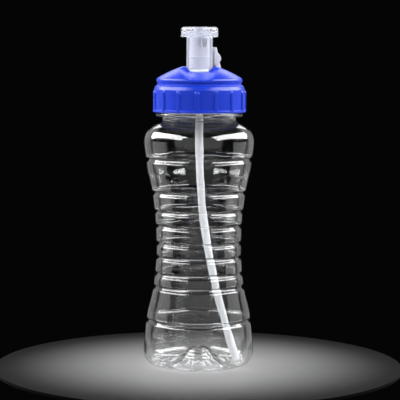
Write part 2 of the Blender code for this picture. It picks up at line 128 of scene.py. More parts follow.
# Vent lever and its pin
EYE_RADIUS, LEVER_BORE_HALF = 1.65, 6.0
PIN_HALF, PIN_EDGE = 5.3, 0.2

# Spout
POST_BORE, PLUG_RADIUS, POST_SHOULDER = 5.8, 4.2, 226.1
WINDOW_TURN, WINDOW_ROUNDING = -73.0, 1.2
WINDOW_IN, WINDOW_OUT, WINDOW_BOTTOM, WINDOW_TOP = 4.0, 9.5, 218.2, 224.3
FOOT_OUTER, FOOT_TOP, FOOT_BORE = 9.85, 203.0, 7.35
DRINK_HOLE, CEILING = 4.6, 227.0

# Straw: its route from the sleeve under the cap down to the heel of the bottle, as (x, y, z)
STRAW_ROUTE = [
    (0.0, 0.0, 194.6), (0.0, 0.0, 174.0), (0.0, 0.0, 159.0), (0.3, -0.1, 145.0), (0.8, -0.3, 129.6),
    (1.6, -0.6, 117.5), (2.7, -1.0, 105.1), (4.7, -1.6, 90.3), (6.9, -2.2, 78.2), (9.2, -2.8, 66.5),
    (11.8, -3.4, 54.7), (14.7, -4.1, 43.0), (17.7, -4.7, 32.4), (21.0, -5.3, 20.6), (26.6, -6.0, 3.6),
]
STRAW_POINTS, STRAW_SIDES = 90, 28

# Rings: piece, CAD node, body, inner radius, rounding of the edges
SEAL_RINGS = [
    ("flat_cap_seal", "cap_seal", "seal_ring", 24.7, 0.35),
    ("flat_post_gasket", "post_gasket", "cap", 7.4, 0.3),
    ("snap_retainer", "post_retainer", "cap", 5.6, 0.35),
    ("nozzle_o_ring", "nozzle_ring", "nozzle", 7.25, 0.42),
    ("straw_grip_sleeve", "straw_sleeve", "cap", 2.95, 0.25),
]

# Stage, in metres. Each lamp: place, the point it is turned to, width and height
SOFT_BOX = (0.43, -0.12, 0.43), (0.02, -0.12, 0.06), (0.9, 0.27)
SOFT_BOX_ROLL = 13.0
SIDE_CARD = (0.30, 0.0, 0.08), (0.0, 0.0, 0.08), (0.20, 0.16)
REAR_CARD = (0.38, 0.42, 0.16), (0.0, 0.0, 0.12), (0.34, 0.80)
REAR_TOP_CARD = (0.0, 0.55, 0.50), (0.0, 0.0, 0.17), (0.60, 0.22)
FRONTAL_FILL = (0.0, -1.0, 0.30), (0.0, 0.0, 0.1), (2.6, 1.0)
SURROUND = (0.0015, 0.0015, 0.0017, 1.0)
CAMERA_PITCH, CAMERA_ROLL, CAMERA_ASIDE, AIM_HEIGHT = 5.2, 0.24, 0.0007, 0.1141
# Share of the floor's radius, from its edge, over which its painted pool of light brightens
FLOOR_PAINTED_POOL = 0.75


def length(name, description, millimetres):
    return FloatProperty(name=name, description=description, default=millimetres * MM, min=0.0,
                         subtype="DISTANCE", unit="LENGTH", precision=5)


def colour(name, description, default):
    return FloatVectorProperty(name=name, description=description, default=default, size=3, min=0.0,
                               max=1.0, subtype="COLOR")


def brightness(name, description, default):
    return FloatProperty(name=name, description=description, default=default)


class BottleSettings(PropertyGroup):
    width: FloatProperty(name="Width", description="Widest outer diameter of the bottle's wall",
                         default=BODY_BOX[1].x - BODY_BOX[0].x, subtype="DISTANCE", unit="LENGTH")
    wall: length("Wall", "Thickness of the blown wall", 0.6)
    groove_depth: length("Groove depth", "Depth of each ring groove", 1.75)
    groove_below: length("Groove, lower flank", "Reach of a groove below its deepest line", 2.4)
    groove_above: length("Groove, upper flank", "Reach of a groove above its deepest line", 1.7)
    ripple: length("Ripple", "Unevenness that blow moulding leaves in the wall", 0.07)
    webs: IntProperty(name="Base webs", description="Radial webs moulded into the base", default=8, min=0)
    web_height: length("Web height", "Rise of each radial web of the base", 1.3)
    tint: colour("PET tint", "Colour of the clear bottle plastic", (0.985, 0.99, 0.992))


class CapSettings(PropertyGroup):
    ribs: IntProperty(name="Ribs", description="Upright grip ribs around the skirt", default=15, min=1)
    rib_width: length("Rib width", "Width of each grip rib", 2.9)
    rib_height: length("Rib height", "How far a rib stands out of the skirt", 0.9)
    shell: length("Shell", "Thickness of the dome", 1.8)
    blue: colour("Cap blue", "Colour of the moulded polypropylene", (0.006, 0.036, 0.52))


class SpoutSettings(PropertyGroup):
    nozzle_radius: length("Nozzle radius", "Outer radius of the pull nozzle's barrel", 8.95)
    nozzle_bore: length("Nozzle bore", "Inner radius of the pull nozzle's barrel", 7.85)
    mouth_radius: length("Mouth radius", "Outer radius of the mouth flange",
                         (NOZZLE_BOX[1].x - NOZZLE_BOX[0].x) / 2 / MM)
    post_radius: length("Post radius", "Outer radius of the fixed spout post", 7.0)
    windows: IntProperty(name="Windows", description="Flow windows around the post", default=3, min=1)
    window_width: length("Window width", "Width of each flow window", 6.6)
    clear: colour("Nozzle tint", "Colour of the clear nozzle plastic", (0.72, 0.73, 0.78))
    milky: colour("Milky plastic", "Colour of the post, its retainer and the lever", (0.45, 0.455, 0.515))


class LeverSettings(PropertyGroup):
    thickness: length("Lever width", "Width of the vent lever across its slot", 7.0)
    edge: length("Lever edge", "Rounding of the lever's edges", 0.55)
    pin_radius: length("Pin radius", "Radius of the hinge pin", 0.9)
    nylon: colour("Pin nylon", "Colour of the hinge pin", (0.78, 0.77, 0.72))


class StrawSettings(PropertyGroup):
    radius: length("Straw radius", "Outer radius of the drinking straw", 2.65)
    wall: length("Straw wall", "Thickness of the straw's wall", 0.5)
    white: colour("Straw white", "Colour of the translucent straw", (0.44, 0.45, 0.47))


class SealSettings(PropertyGroup):
    silicone: colour("Silicone", "Colour of the seals", (0.74, 0.77, 0.80))


class StageSettings(PropertyGroup):
    floor_radius: FloatProperty(name="Floor radius", description="Radius of the round floor",
                                default=0.14, subtype="DISTANCE", unit="LENGTH")
    # The floor's colour at its middle, where the painted pool of light is brightest
    floor_colour: colour("Floor", "Colour of the middle of the floor", (0.16, 0.16, 0.162))
    key_light: brightness("Soft boxes", "Brightness of the two soft boxes", 9.0)
    side_light: brightness("Side cards", "Brightness of the low side cards", 0.8)
    rear_light: brightness("Rear cards", "Brightness of the rear side cards", 0.36)
    top_light: brightness("Rear top card", "Brightness of the high rear card", 2.6)
    fill_light: brightness("Fill", "Brightness of the wide frontal fill", 0.26)
    distance: FloatProperty(name="Camera distance", description="Distance from the camera to the bottle",
                            default=1.215, subtype="DISTANCE", unit="LENGTH")
    lens: FloatProperty(name="Lens", description="Focal length of the camera", default=159.6,
                        subtype="DISTANCE_CAMERA", unit="CAMERA")


# Outlines ------------------------------


def smooth_curve(points, at):
    """Value at `at` of the monotone cubic curve through (x, y) points."""
    steps = [b[0] - a[0] for a, b in zip(points, points[1:])]
    rises = [(b[1] - a[1]) / h for a, b, h in zip(points, points[1:], steps)]
    slopes = [rises[0]]
    for left, right, before, after in zip(rises, rises[1:], steps, steps[1:]):
        if left * right > 0:
            weighed = (2 * after + before) / left + (after + 2 * before) / right
            slopes.append(3 * (before + after) / weighed)
        else:
            slopes.append(0.0)
    slopes.append(rises[-1])
    index = max(i for i in range(len(steps)) if at >= points[i][0] or i == 0)
    width, t = steps[index], (at - points[index][0]) / steps[index]
    return (
        (2 * t**3 - 3 * t**2 + 1) * points[index][1]
        + (t**3 - 2 * t**2 + t) * width * slopes[index]
        + (3 * t**2 - 2 * t**3) * points[index + 1][1]
        + (t**3 - t**2) * width * slopes[index + 1]
    )


def arc_between(start, end, radius, steps):
    """Points on the arc of the given radius that bulges outwards and upwards from start to end."""
    start, end = Vector(start), Vector(end)
    chord = end - start
    reach = math.sqrt(radius**2 - (chord.length / 2) ** 2)
    inward = Vector((-chord.y, chord.x)).normalized()
    if inward.y > 0:
        inward = -inward
    centre = (start + end) / 2 + inward * reach
    first, last = (math.atan2(p.y - centre.y, p.x - centre.x) for p in (start, end))
    angles = [first + (last - first) * i / steps for i in range(steps + 1)]
    return [(centre.x + radius * math.cos(a), centre.y + radius * math.sin(a)) for a in angles]


def rounded(corners, closed=True, steps=4):
    """Turns (x, y, radius) corners into an outline whose corners are rounded by their radius."""
    outline = []
    last = len(corners) - 1
    for i, (x, y, radius) in enumerate(corners):
        here = Vector((x, y))
        if radius <= 0.0 or (not closed and i in (0, last)):
            outline.append((x, y))
            continue
        before = Vector(corners[i - 1][:2]) - here
        after = Vector(corners[(i + 1) % len(corners)][:2]) - here
        half_angle = before.angle(after) / 2
        reach = min(radius / max(math.tan(half_angle), 0.05), 0.48 * before.length, 0.48 * after.length)
        start, end = here + before.normalized() * reach, here + after.normalized() * reach
        for k in range(steps + 1):
            t = k / steps
            point = start * (1 - t) ** 2 + here * 2 * t * (1 - t) + end * t**2
            outline.append((point.x, point.y))
    return outline


def with_rows(outline, spacing, closed=True):
    """Adds points so that no stretch of an outline is longer than the spacing."""
    filled = []
    pairs = list(zip(outline, outline[1:] + outline[:1]))
    for (x0, y0), (x1, y1) in pairs if closed else pairs[:-1]:
        count = max(1, math.ceil(math.hypot(x1 - x0, y1 - y0) / spacing))
        filled += [(x0 + (x1 - x0) * k / count, y0 + (y1 - y0) * k / count) for k in range(count)]
    return filled if closed else filled + [outline[-1]]


def inset(outline, depth):
    """Moves an outline that runs up the outside of a wall inwards by the wall's thickness."""
    moved = []
    for before, here, after in zip(outline, outline[1:], outline[2:]):
        along = (Vector(after) - Vector(before)).normalized()
        moved.append((here[0] - depth * along.y, here[1] + depth * along.x))
    return moved


def smooth_step(low, high, value):
    t = min(max((value - low) / (high - low), 0.0), 1.0)
    return t * t * (3 - 2 * t)


def soft_least(a, b, softness):
    """The lesser of two heights, rounded where they meet."""
    near = max(softness - abs(a - b), 0.0) / softness
    return min(a, b) - near * near * softness / 4


# Mesh tools ----------------------------


def spun(outline, steps, closed=True, outside=0):
    """Turns an outline of (radius, height) points about Z. Its first `outside` points are tagged 1."""
    bm = bmesh.new()
    tag = bm.verts.layers.int.new("outside")
    ring = [bm.verts.new((r, 0.0, z)) for r, z in outline]
    for vert in ring[:outside]:
        vert[tag] = 1
    pairs = list(zip(ring, ring[1:])) + ([(ring[-1], ring[0])] if closed else [])
    edges = [bm.edges.new(pair) for pair in pairs]
    bmesh.ops.spin(bm, geom=ring + edges, cent=(0, 0, 0), axis=(0, 0, 1), angle=math.tau, steps=steps,
                   use_merge=True)
    bmesh.ops.remove_doubles(bm, verts=bm.verts, dist=0.0005)
    bmesh.ops.recalc_face_normals(bm, faces=bm.faces)
    return bm


def linked(name, data):
    """A new object that is in the scene."""
    obj = bpy.data.objects.new(name, data)
    bpy.context.collection.objects.link(obj)
    return obj


def finished(name, bm, material, crease=40.0):
    """Makes a smooth-shaded object in metres, at the origin, from a bmesh in millimetres."""
    bmesh.ops.scale(bm, verts=bm.verts, vec=(MM, MM, MM))
    mesh = bpy.data.meshes.new(name)
    bm.to_mesh(mesh)
    bm.free()
    obj = linked(name, mesh)
    shade(obj, material, crease)
    return obj


def shade(obj, material, crease=40.0):
    obj.data.materials.clear()
    obj.data.materials.append(material)
    obj.data.shade_smooth()
    obj.data.set_sharp_from_angle(angle=math.radians(crease))


def carve(obj, tool, operation="DIFFERENCE"):
    """Cuts a tool out of an object, or joins it on, and removes the tool."""
    modifier = obj.modifiers.new(tool.name, "BOOLEAN")
    modifier.operation = operation
    modifier.solver = "MANIFOLD"
    modifier.object = tool
    graph = bpy.context.evaluated_depsgraph_get()
    carved = bpy.data.meshes.new_from_object(obj.evaluated_get(graph))
    if len(carved.polygons) == 0:
        raise RuntimeError(f"nothing is left of {obj.name} after {tool.name}")
    obj.modifiers.clear()
    obj.data = carved
    bpy.data.objects.remove(tool)


def bevelled(bm, edges, offset, segments):
    bmesh.ops.bevel(bm, geom=edges, offset=offset, segments=segments, profile=0.5, affect="EDGES",
                    clamp_overlap=True, material=-1)


def tool_material():
    return bpy.data.materials.get("tool") or bpy.data.materials.new("tool")


def block(name, low, high, place, rounding=0.0):
    """A box between two corners in the frame of the matrix place, with rounded edges."""
    size = Vector(high) - Vector(low)
    bm = bmesh.new()
    bmesh.ops.create_cube(bm, size=1.0)
    bmesh.ops.scale(bm, verts=bm.verts, vec=size)
    bmesh.ops.translate(bm, verts=bm.verts, vec=(Vector(low) + Vector(high)) / 2)
    if rounding:
        bevelled(bm, list(bm.edges), rounding, 4)
    bmesh.ops.transform(bm, matrix=place, verts=bm.verts)
    return finished(name, bm, tool_material())


def rod(name, radius, low, high, place, material=None, edge=0.0):
    bm = bmesh.new()
    bmesh.ops.create_cone(bm, cap_ends=True, segments=32, radius1=radius, radius2=radius,
                          depth=high - low, matrix=Matrix.Translation((0, 0, (low + high) / 2)))
    if edge:
        rims = [e for e in bm.edges if len(e.link_faces) == 2 and e.calc_face_angle() > 1.0]
        bevelled(bm, rims, edge, 3)
    bmesh.ops.transform(bm, matrix=place, verts=bm.verts)
    return finished(name, bm, material or tool_material())


def fit(obj, body, slot, *nodes):
    """Hangs a finished piece on its body, in place of its CAD nodes."""
    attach(obj, body)
    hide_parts(*nodes)


def thread_relief(vert, start, height):
    """Moves a wall point by the helical ridge that passes over it; a negative height stands inwards."""
    turn = (math.atan2(vert.co.y, vert.co.x) % math.tau) / math.tau
    radius = math.hypot(vert.co.x, vert.co.y)
    for whole in range(math.ceil(THREAD_TURNS) + 1):
        along = turn + whole
        if not 0.0 <= along <= THREAD_TURNS:
            continue
        away = abs(vert.co.z - start - PITCH * along)
        rise = 1.0 - smooth_step(THREAD_CREST_HALF - 0.15, THREAD_ROOT_HALF + 0.1, away)
        ends = smooth_step(0.0, 0.05, along) * (1.0 - smooth_step(THREAD_TURNS - 0.05, THREAD_TURNS, along))
        scale = (radius + height * rise * ends) / radius
        vert.co.x *= scale
        vert.co.y *= scale
        return


# Finishes ------------------------------


def plastic(name, tint, roughness, ior=1.5):
    """A Principled material and its shader node."""
    material = bpy.data.materials.new(name)
    material.use_nodes = True
    material.diffuse_color = (*tint, 1.0)
    shader = material.node_tree.nodes["Principled BSDF"]
    shader.inputs["Base Color"].default_value = (*tint, 1.0)
    shader.inputs["Roughness"].default_value = roughness
    shader.inputs["IOR"].default_value = ior
    return material, shader


def tree(material):
    return material.node_tree.nodes, material.node_tree.links


def pattern(material, scale, detail=2.0, stretch=(1.0, 1.0, 1.0)):
    """Noise on the piece's own coordinates; scale counts lumps per metre."""
    nodes, links = tree(material)
    place = nodes.new("ShaderNodeTexCoord")
    mapping = nodes.new("ShaderNodeMapping")
    mapping.inputs["Scale"].default_value = stretch
    lumps = nodes.new("ShaderNodeTexNoise")
    lumps.inputs["Scale"].default_value = scale
    lumps.inputs["Detail"].default_value = detail
    links.new(place.outputs["Object"], mapping.inputs["Vector"])
    links.new(mapping.outputs["Vector"], lumps.inputs["Vector"])
    return lumps.outputs["Fac"]


def vary_gloss(material, shader, source, low, high):
    """Drives the roughness between low and high by a pattern."""
    nodes, links = tree(material)
    span = nodes.new("ShaderNodeMapRange")
    span.inputs["From Min"].default_value = 0.3
    span.inputs["From Max"].default_value = 0.7
    span.inputs["To Min"].default_value = low
    span.inputs["To Max"].default_value = high
    links.new(source, span.inputs["Value"])
    links.new(span.outputs["Result"], shader.inputs["Roughness"])


def blend_colours(material, shader, source, first, second):
    nodes, links = tree(material)
    ramp = nodes.new("ShaderNodeValToRGB")
    ramp.color_ramp.elements[0].position = 0.35
    ramp.color_ramp.elements[0].color = (*first, 1.0)
    ramp.color_ramp.elements[1].position = 0.65
    ramp.color_ramp.elements[1].color = (*second, 1.0)
    links.new(source, ramp.inputs["Fac"])
    links.new(ramp.outputs["Color"], shader.inputs["Base Color"])


def bump(material, shader, source, distance, strength=1.0):
    nodes, links = tree(material)
    relief = nodes.new("ShaderNodeBump")
    relief.inputs["Distance"].default_value = distance
    relief.inputs["Strength"].default_value = strength
    links.new(source, relief.inputs["Height"])
    links.new(relief.outputs["Normal"], shader.inputs["Normal"])


def let_lamps_through(material, shader, tint):
    """Lamps light what is inside the clear plastic, because shadow rays pass it straight."""
    nodes, links = tree(material)
    path = nodes.new("ShaderNodeLightPath")
    straight = nodes.new("ShaderNodeBsdfTransparent")
    straight.inputs["Color"].default_value = (*tint, 1.0)
    choice = nodes.new("ShaderNodeMixShader")
    links.new(path.outputs["Is Shadow Ray"], choice.inputs["Fac"])
    links.new(shader.outputs["BSDF"], choice.inputs[1])
    links.new(straight.outputs["BSDF"], choice.inputs[2])
    links.new(choice.outputs["Shader"], nodes["Material Output"].inputs["Surface"])


def clear_pet(tint):
    material, shader = plastic("clear_blown_pet", tint, 0.03, ior=1.57)
    shader.inputs["Transmission Weight"].default_value = 1.0
    vary_gloss(material, shader, pattern(material, 60.0), 0.015, 0.05)
    bump(material, shader, pattern(material, 130.0, 2.0, (1.0, 1.0, 0.45)), 0.0003, 0.35)
    let_lamps_through(material, shader, (0.96, 0.96, 0.96))
    return material


def blue_polypropylene(tint):
    material, shader = plastic("blue_moulded_polypropylene", tint, 0.31, ior=1.46)
    darker = tuple(channel * 0.93 for channel in tint)
    blend_colours(material, shader, pattern(material, 45.0, 3.0), darker, tint)
    vary_gloss(material, shader, pattern(material, 220.0, 4.0), 0.27, 0.35)
    bump(material, shader, pattern(material, 900.0, 2.0), 0.00004, 0.5)
    return material


def clear_polypropylene(tint):
    material, shader = plastic("clear_moulded_polypropylene", tint, 0.1, ior=1.49)
    shader.inputs["Transmission Weight"].default_value = 0.84
    vary_gloss(material, shader, pattern(material, 120.0), 0.06, 0.12)
    bump(material, shader, pattern(material, 350.0, 2.0), 0.0001, 0.3)
    let_lamps_through(material, shader, (0.86, 0.87, 0.9))
    return material


def milky_polyethylene(tint):
    material, shader = plastic("milky_polyethylene_finish", tint, 0.34, ior=1.51)
    shader.inputs["Subsurface Weight"].default_value = 0.6
    shader.inputs["Subsurface Radius"].default_value = (1.0, 0.95, 0.95)
    shader.inputs["Subsurface Scale"].default_value = 0.003
    duller = tuple(channel * 0.96 for channel in tint)
    blend_colours(material, shader, pattern(material, 160.0, 3.0), duller, tint)
    vary_gloss(material, shader, pattern(material, 400.0, 3.0), 0.28, 0.40)
    bump(material, shader, pattern(material, 1500.0, 2.0), 0.00004, 0.5)
    return material


def straw_polyethylene(tint):
    material, shader = plastic("straw_polyethylene_finish", tint, 0.28, ior=1.51)
    shader.inputs["Subsurface Weight"].default_value = 0.5
    shader.inputs["Subsurface Radius"].default_value = (1.0, 1.0, 1.0)
    shader.inputs["Subsurface Scale"].default_value = 0.002
    vary_gloss(material, shader, pattern(material, 300.0, 3.0, (1.0, 1.0, 0.05)), 0.22, 0.36)
    bump(material, shader, pattern(material, 900.0, 2.0, (1.0, 1.0, 0.05)), 0.00005, 0.4)
    return material


def soft_silicone(tint):
    material, shader = plastic("silicone_finish", tint, 0.5, ior=1.41)
    shader.inputs["Subsurface Weight"].default_value = 0.4
    shader.inputs["Subsurface Scale"].default_value = 0.002
    vary_gloss(material, shader, pattern(material, 500.0, 3.0), 0.42, 0.60)
    bump(material, shader, pattern(material, 2500.0, 2.0), 0.00003, 0.6)
    return material


def pin_nylon(tint):
    material, shader = plastic("nylon_finish", tint, 0.4, ior=1.53)
    vary_gloss(material, shader, pattern(material, 900.0, 3.0), 0.32, 0.5)
    bump(material, shader, pattern(material, 3000.0, 2.0), 0.00003, 0.5)
    return material


def made_once(maker, tint):
    """A finish that several pieces share is made by the first of them."""
    known = made_once.known
    if maker.__name__ not in known:
        known[maker.__name__] = maker(tuple(tint))
    return known[maker.__name__]


made_once.known = {}


# Bottle --------------------------------


def wall_radius(z, settings):
    """Outer radius of the waisted wall at a height, less the groove that crosses it."""
    spread = settings.width / MM / 2 / max(radius for _, radius in PROFILE)
    radius = smooth_curve(PROFILE, z) * spread
    for groove in GROOVES:
        away = z - groove
        half = (settings.groove_below if away < 0 else settings.groove_above) / MM
        if abs(away) < half:
            radius -= settings.groove_depth / MM * math.cos(math.pi / 2 * away / half) ** 2
    return radius


def heel(start, widest, bottom, steps):
    """The rounded heel between the standing ring and the wall, as part of a superellipse."""
    power = 2.0 / CORNER_ROUNDNESS
    points = []
    for i in range(1, steps):
        angle = math.pi / 2 * i / steps
        across = (widest - start) * math.sin(angle) ** power
        up = (CORNER_HEIGHT - bottom) * (1.0 - math.cos(angle) ** power)
        points.append((start + across, bottom + up))
    return points


def bottle_outline(settings):
    """The outline of the blown wall, and how many of its points lie outside, up to the shoulder."""
    wall = settings.wall / MM
    rim_top = BODY_BOX[1].z / MM
    base = with_rows(rounded([(0.0, BASE_STEPS[0][1], 0.0)] + BASE_STEPS, closed=False), 0.9, closed=False)
    widest = wall_radius(CORNER_HEIGHT, settings)
    rows = round((PROFILE_TOP - CORNER_HEIGHT) / 0.6)
    heights = [CORNER_HEIGHT + (PROFILE_TOP - CORNER_HEIGHT) * i / rows for i in range(rows + 1)]
    neck = [(NECK_OUTER, PROFILE_TOP + 0.6, 0.0), (NECK_OUTER, BEAD_BOTTOM - 0.3, 0.5),
            (BEAD_OUTER, BEAD_BOTTOM, 0.8), (BEAD_OUTER, BEAD_TOP, 0.8), (FINISH_OUTER, BEAD_TOP, 0.4),
            (FINISH_OUTER, rim_top, 0.6), (FINISH_INNER, rim_top, 0.4), (FINISH_INNER, 175.0, 1.0),
            (NECK_INNER, 172.6, 1.0), (NECK_INNER, PROFILE_TOP + 0.2, 0.0)]
    neck = with_rows(rounded(neck, closed=False), 0.4, closed=False)
    outer = base + heel(CORNER_START, widest, 0.0, 16)
    outer += [(wall_radius(z, settings), z) for z in heights]
    inner = []
    for radius, z in inset([(wall_radius(z, settings), z) for z in heights], wall):
        if z > CORNER_HEIGHT + 1.0 and (not inner or z > inner[-1][1] + 0.15):
            inner.append((min(radius, NECK_INNER) if z > PROFILE_TOP - 0.6 else radius, z))
    inner.reverse()
    inner += list(reversed(heel(CORNER_START, widest - wall, wall, 16)))
    inner += [(radius + 0.25, z + wall) for radius, z in reversed(base) if radius > 0.0]
    inner += [(0.0, base[0][1] + wall)]
    return outer + neck + inner, len(outer)


class SQUEEZE_OT_make_bottle(Operator):
    """Make the blown clear bottle with its grooves, neck thread and webbed base"""

    bl_idname = "squeeze_bottle.make_bottle"
    bl_label = "Make Bottle"

    def execute(self, context):
        settings = context.scene.squeeze_bottle_body
        outline, outside = bottle_outline(settings)
        bm = spun(outline, 100, closed=False, outside=outside)
        tag = bm.verts.layers.int["outside"]
        ripple = settings.ripple / MM
        for vert in bm.verts:
            radius = math.hypot(vert.co.x, vert.co.y)
            if WEB_IN < radius < WEB_OUT and vert.co.z < 8.0:
                turn = math.atan2(vert.co.y, vert.co.x) * settings.webs / 2
                bell = math.sin(math.pi * (radius - WEB_IN) / (WEB_OUT - WEB_IN)) ** 0.7
                vert.co.z += settings.web_height / MM * bell * abs(math.cos(turn)) ** 6
            if radius > CORNER_START and CORNER_HEIGHT / 2 < vert.co.z < PROFILE_TOP - 4.0:
                spot = Vector((vert.co.x / 9.0, vert.co.y / 9.0, vert.co.z / 16.0))
                inside = 1 - vert[tag]
                push = ripple * (1 + inside) * noise.noise(spot + Vector((7.0, 3.0, 0.0)) * inside)
                vert.co.x *= 1 + push / radius
                vert.co.y *= 1 + push / radius
            if abs(radius - FINISH_OUTER) < 0.05 and vert.co.z > BEAD_TOP + 1.0:
                thread_relief(vert, NECK_THREAD_START, NECK_THREAD_HEIGHT)
        bottle = finished("blown_bottle", bm, clear_pet(tuple(settings.tint)), crease=50.0)
        fit(bottle, "bottle", "clear_pet", "bottle_body")
        return {"FINISHED"}


# Cap -----------------------------------


def cap_outline(settings):
    """The closed outline of the cap, and how many of its points are on the outside."""
    bottom = CAP_BOX[0].z / MM
    shell = settings.shell / MM
    dome = arc_between(DOME_LOW, DOME_HIGH, DOME_RADIUS, 8)[1:-1]
    under = arc_between((DOME_LOW[0] - 2.1, DOME_LOW[1] - 1.2), (DOME_HIGH[0] + 0.2, DOME_HIGH[1] - shell),
                        DOME_RADIUS, 8)[1:-1]
    outer = [(WELL_HOLE, WELL_FLOOR, 0.2), (WELL_RADIUS, WELL_FLOOR, 0.7),
             (WELL_RADIUS, DOME_HIGH[1] - 0.05, 0.45), (*DOME_HIGH, 0.6)]
    outer += [(radius, z, 0.0) for radius, z in reversed(dome)]
    outer += [(*DOME_LOW, 0.5), (LIP_OUTER, 196.4, 0.4), (LIP_OUTER, 195.0, 0.2), (BAND_OUTER, 194.6, 0.25),
              (BAND_OUTER, 192.9, 0.25), (30.05, 192.2, 0.9), (SKIRT_OUTER, 189.8, 1.6),
              (SKIRT_OUTER, 176.3, 0.25), (HEM_OUTER, 175.8, 0.25), (HEM_OUTER, bottom, 0.3)]
    inner = [(CAP_BORE, bottom, 0.35), (CAP_BORE, 189.6, 0.6), (28.4, LEDGE_Z, 0.4),
             (LEDGE_INNER, LEDGE_Z, 0.3), (LEDGE_INNER, LEDGE_Z + 1.5, 0.3), (26.8, LEDGE_Z + 1.5, 0.4)]
    inner += [(26.9, 196.2, 0.5)] + [(radius, z, 0.0) for radius, z in under]
    inner += [(SLEEVE_OUTER, DOME_HIGH[1] - shell, 0.3), (SLEEVE_OUTER, SLEEVE_BOTTOM, 0.3),
              (WELL_RADIUS, SLEEVE_BOTTOM, 0.3), (WELL_RADIUS, WELL_FLOOR - FLOOR_THICK, 0.4),
              (WELL_HOLE, WELL_FLOOR - FLOOR_THICK, 0.2)]
    outer = with_rows(rounded(outer, closed=False, steps=3), 0.6, closed=False)
    inner = with_rows(rounded(inner, closed=False, steps=2), 0.9, closed=False)
    return outer + inner, len(outer)


def scoop_height(x, y):
    """Height of the drinker's lip scoop: a sloping floor that narrows outwards, with leaning sides."""
    (near_y, near_half, near_z), (far_y, far_half, far_z) = SCOOP_NEAR, SCOOP_FAR
    share = (y - near_y) / (far_y - near_y)
    half = near_half + (far_half - near_half) * share
    floor = near_z + (far_z - near_z) * share
    return floor + SCOOP_SIDE_SLOPE * (max(0.0, abs(x) - half) + 2.0 * max(0.0, y - near_y))


@functools.lru_cache(maxsize=None)
def crowd_columns(angle, period):
    """Moves evenly spread columns towards the edges of the ribs; both angles are in degrees."""
    half = period / 2
    away = (angle - RIB_TURN + half) % period - half
    share = abs(away) / half
    crowded = smooth_curve([(0.0, 0.0), (0.17, 0.13), (0.25, 0.185), (0.33, 0.208), (0.42, 0.231),
                            (0.5, 0.255), (0.58, 0.285), (0.67, 0.37), (0.83, 0.63), (1.0, 1.0)], share)
    return angle - away + math.copysign(crowded * half, away), crowded * half


def rib_lift(arc, z, settings):
    """Height of a grip rib at an arc length from its middle; its top end is round."""
    half = settings.rib_width / MM / 2
    top = max(0.0, z - (RIB_TOP - half))
    inside = half - math.hypot(arc, top)
    return settings.rib_height / MM * smooth_step(-0.12, 0.32, inside)


def shape_cap(bm, settings):
    """Raises the ribs, sinks the scoop and winds the thread on the turned cap."""
    outside = bm.verts.layers.int["outside"]
    period = 360.0 / settings.ribs
    for vert in bm.verts:
        radius = math.hypot(vert.co.x, vert.co.y)
        angle, away = crowd_columns(round(math.degrees(math.atan2(vert.co.y, vert.co.x)), 3), period)
        if vert[outside] and radius > BAND_OUTER + 1.0 and vert.co.z > RIB_BOTTOM:
            lift = rib_lift(math.radians(away) * SKIRT_OUTER, vert.co.z, settings)
            radius = max(radius, SKIRT_OUTER + lift) if lift > 0.01 else radius
        turn = math.radians(angle)
        vert.co.x, vert.co.y = radius * math.cos(turn), radius * math.sin(turn)
        if not vert[outside] and abs(radius - CAP_BORE) < 0.05:
            thread_relief(vert, CAP_THREAD_START, CAP_THREAD_HEIGHT)
        elif vert.co.y < SCOOP_NEAR[0] / 2 and vert.co.z > LEDGE_Z + 2.5 and radius > WELL_RADIUS - 0.6:
            drop = 0.0 if vert[outside] else SCOOP_WALL
            surface = scoop_height(vert.co.x, vert.co.y) - drop
            if vert.co.z > surface - SCOOP_SOFTNESS:
                vert.co.z = soft_least(vert.co.z, surface, SCOOP_SOFTNESS)
    bmesh.ops.remove_doubles(bm, verts=bm.verts, dist=0.004)


class SQUEEZE_OT_make_cap(Operator):
    """Make the ribbed screw cap with its lip scoop, spout well and lever slot"""

    bl_idname = "squeeze_bottle.make_cap"
    bl_label = "Make Cap"

    def execute(self, context):
        settings = context.scene.squeeze_bottle_cap
        outline, outside = cap_outline(settings)
        bm = spun(outline, COLUMNS_PER_RIB * settings.ribs, outside=outside)
        shape_cap(bm, settings)
        material = blue_polypropylene(tuple(settings.blue))
        cap = finished("ribbed_cap", bm, material)
        carve(cap, self.lever_housing(), "UNION")
        carve(cap, block("lever_slot", (SLOT_IN, -SLOT_HALF, SLOT_FLOOR), (SLOT_OUT, SLOT_HALF, SLOT_TOP),
                         LEVER_FRAME, rounding=SLOT_ROUNDING))
        carve(cap, rod("pin_bore", PIN_BORE, PIN_BORE_OUT, PIN_BORE_IN, PIN_FRAME))
        down = LEVER_FRAME @ Matrix.Translation((VENT_U, 0.0, 0.0))
        carve(cap, rod("vent_bore", VENT_BORE, VENT_BOTTOM, VENT_TOP, down))
        shade(cap, material, crease=42.0)
        fit(cap, "cap", "blue_polypropylene", "screw_cap")
        return {"FINISHED"}

    def lever_housing(self):
        """The block under the crown for the lever's slot and pin bore; its top follows the dome."""
        housing = block("lever_housing", HOUSING_LOW, HOUSING_HIGH, LEVER_FRAME)
        for vert in housing.data.vertices:
            if vert.co.z > (HOUSING_LOW[2] + HOUSING_HIGH[2]) / 2 * MM:
                along = (LEVER_FRAME.inverted() @ vert.co).x / MM
                vert.co.z -= HOUSING_FALL * (along - HOUSING_LOW[0]) * MM
        return housing


# Spout ---------------------------------


